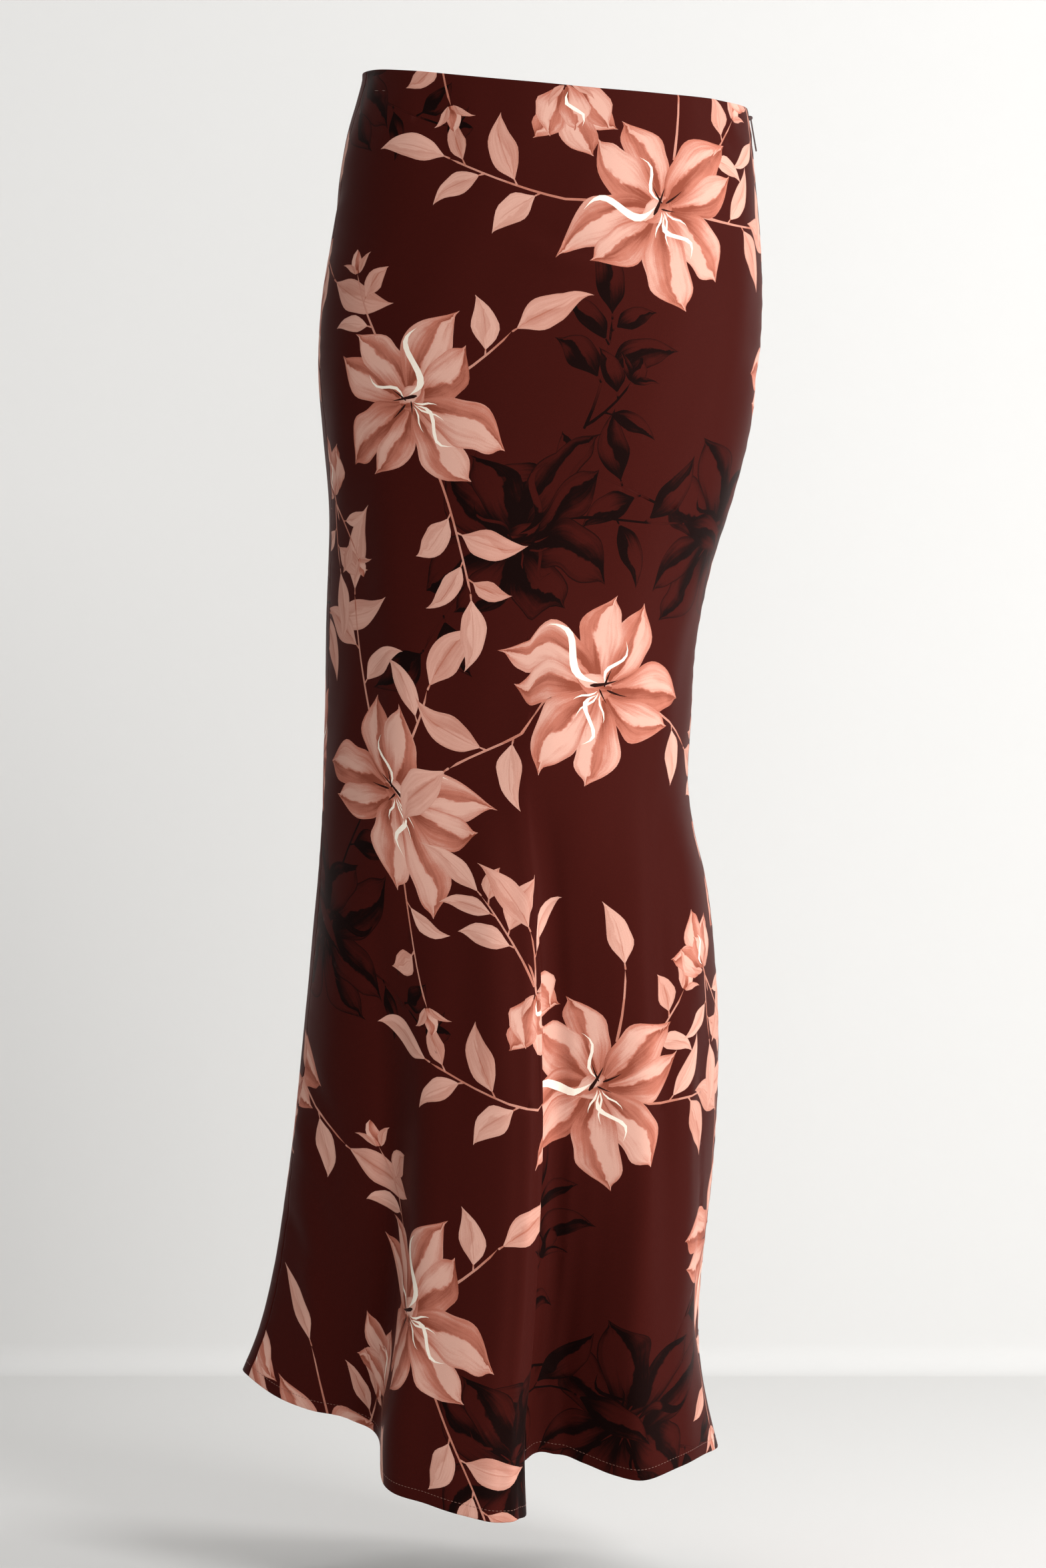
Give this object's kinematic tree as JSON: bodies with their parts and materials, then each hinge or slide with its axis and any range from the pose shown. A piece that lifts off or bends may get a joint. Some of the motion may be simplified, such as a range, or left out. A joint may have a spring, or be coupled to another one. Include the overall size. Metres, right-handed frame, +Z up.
{
  "type": "maxi skirt",
  "caption": "Worn ankle-length bias-cut satin skirt with a floral print, a plain waist edge, a side zip and a flared hem in deep folds.",
  "frame": {"origin": "centre of the waist opening, where the wearer holds the skirt up", "axes": "+Z up, -Y the front, +X the wearer's left, where the zip is"},
  "size_m": [0.3717, 0.3652, 1.0075],
  "materials": {
    "printed_satin": "printed satin, soft sheen",
    "zip_tape": "woven tape, matt",
    "zip_coil": "dyed nylon coil",
    "painted_zip_metal": "dark painted zip metal"
  },
  "bodies": {
    "skirt": {"front_panel": "printed_satin", "back_panel": "printed_satin", "zip_tape_front": "zip_tape", "zip_tape_back": "zip_tape", "zip_coil": "zip_coil", "zip_slider": "painted_zip_metal"},
    "pull": {"zip_pull": "painted_zip_metal"}
  },
  "joints": [
    {"name": "zip_pull_hinge", "type": "hinge", "parent": "skirt", "child": "pull", "pos_m": [0.14003, -0.00924, -0.01368], "axis": [-0.0509, -0.9959, -0.075], "range_deg": [0, 150]}
  ]
}
